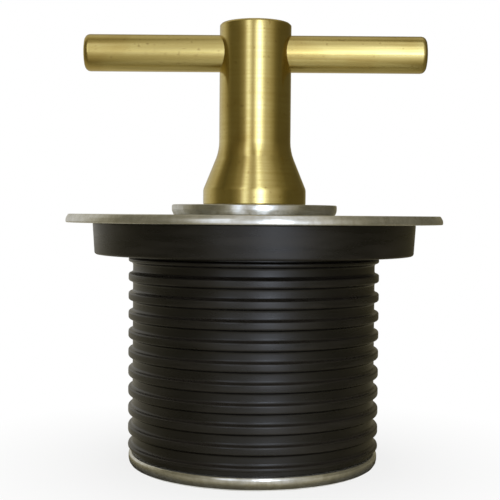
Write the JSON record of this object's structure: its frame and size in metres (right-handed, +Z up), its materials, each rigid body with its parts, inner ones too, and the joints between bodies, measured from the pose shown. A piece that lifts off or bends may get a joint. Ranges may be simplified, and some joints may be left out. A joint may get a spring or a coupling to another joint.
{
  "type": "expanding drain plug",
  "caption": "Expanding deck drain plug: ribbed rubber body squeezed between steel plates by a bolt and a brass cross-handle nut.",
  "frame": {"origin": "middle of the lower plate's underside, on which the plug stands", "axes": "+Z up along the draw bolt, towards the handle; X along the cross bar"},
  "size_m": [0.112, 0.112, 0.1317],
  "materials": {
    "plated_steel": "zinc plated sheet, dull grey with bright edges",
    "black_rubber": "moulded matt rubber",
    "brass": "turned and lightly brushed"
  },
  "bodies": {
    "plug": {"rubber_body": "black_rubber", "upper_plate": "plated_steel", "thrust_washer": "plated_steel"},
    "draw_bolt": {"draw_bolt": "plated_steel", "lower_pan": "plated_steel"},
    "handle": {"handle_nut": "brass", "cross_bar": "brass"}
  },
  "joints": [
    {"name": "handle_turn", "type": "hinge", "parent": "plug", "child": "handle", "pos_m": [0, 0, 0.07757], "axis": [0, 0, -1], "range_deg": [0, 1440]},
    {"name": "bolt_draw", "type": "slide", "parent": "plug", "child": "draw_bolt", "axis": [0, 0, 1], "range_m": [0, 0.007], "deforming": ["rubber_body"]}
  ],
  "couplings": [
    {"joint": "bolt_draw", "follows": "handle_turn", "m_per_rad": 0.00027852}
  ]
}
